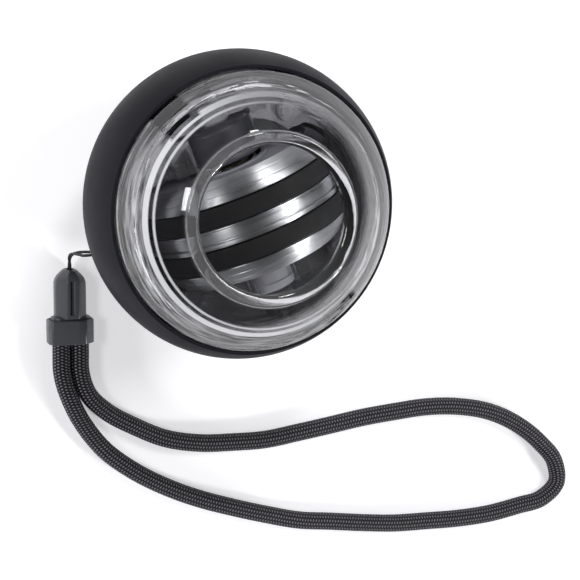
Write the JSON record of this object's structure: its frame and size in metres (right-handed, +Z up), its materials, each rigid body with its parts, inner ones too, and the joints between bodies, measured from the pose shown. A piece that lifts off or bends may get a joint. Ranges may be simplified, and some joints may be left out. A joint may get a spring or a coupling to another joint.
{
  "type": "gyroscopic wrist ball",
  "caption": "Self-starting gyroscopic wrist ball: a heavy rotor on a turning ring in a round housing with a clear dome and a thumb opening, and a corded wrist strap.",
  "frame": {"origin": "centre of the flat base disc's underside, which stands on the table", "axes": "+Z up along the ball's axis, +X along the rotor's axle away from the self-start barrel, -Y towards the lanyard pocket"},
  "size_m": [0.1326, 0.1016, 0.0539],
  "materials": {
    "shell": "soft-touch matte black coating over moulded plastic",
    "base_disc": "fine matte texture",
    "race": "smooth black acetal",
    "dome": "clear moulded plastic, polished",
    "clear_ring": "clear moulded plastic, polished",
    "dark_plastic": "satin black moulded plastic",
    "grey_plastic": "satin grey moulded plastic",
    "bush": "turned, plain",
    "steel": "bright ground steel",
    "rotor_metal": "fine turned finish",
    "band": "matte black rubber",
    "cord": "braided nylon"
  },
  "bodies": {
    "housing": {"lower_shell": "shell", "base_pad": "base_disc", "race_ring": "race", "upper_dome": "dome", "lanyard_pin": "steel", "string_loop": "cord", "connector": "dark_plastic", "wrist_cord": "cord"},
    "ring": {"ring_lower": "clear_ring", "ring_upper": "clear_ring", "ring_screw_1": "steel", "ring_screw_2": "steel", "ring_screw_3": "steel", "ring_screw_4": "steel", "axle_bush_1": "bush", "axle_bush_2": "bush", "spring_barrel": "dark_plastic", "barrel_cover": "dark_plastic", "mainspring": "steel", "bearing_block": "dark_plastic"},
    "hub": {"winding_hub": "bush"},
    "rotor": {"rotor_body": "rotor_metal", "grip_band_1": "band", "grip_band_2": "band", "axle": "steel", "end_disc": "grey_plastic", "clutch_disc": "grey_plastic"},
    "slider": {"cord_slider": "dark_plastic"}
  },
  "joints": [
    {"name": "ring_turn", "type": "hinge", "parent": "housing", "child": "ring", "pos_m": [0, 0, 0.0324], "axis": [0, 0, 1], "continuous": true},
    {"name": "rotor_spin", "type": "hinge", "parent": "ring", "child": "rotor", "pos_m": [0, 0, 0.0324], "axis": [1, 0, 0], "continuous": true},
    {"name": "hub_wind", "type": "hinge", "parent": "ring", "child": "hub", "pos_m": [0, 0, 0.0324], "axis": [1, 0, 0], "range_deg": [0, 1080]},
    {"name": "slider_slide", "type": "slide", "parent": "housing", "child": "slider", "axis": [0.9311, -0.3649, 0], "range_m": [0, 0.006]}
  ]
}
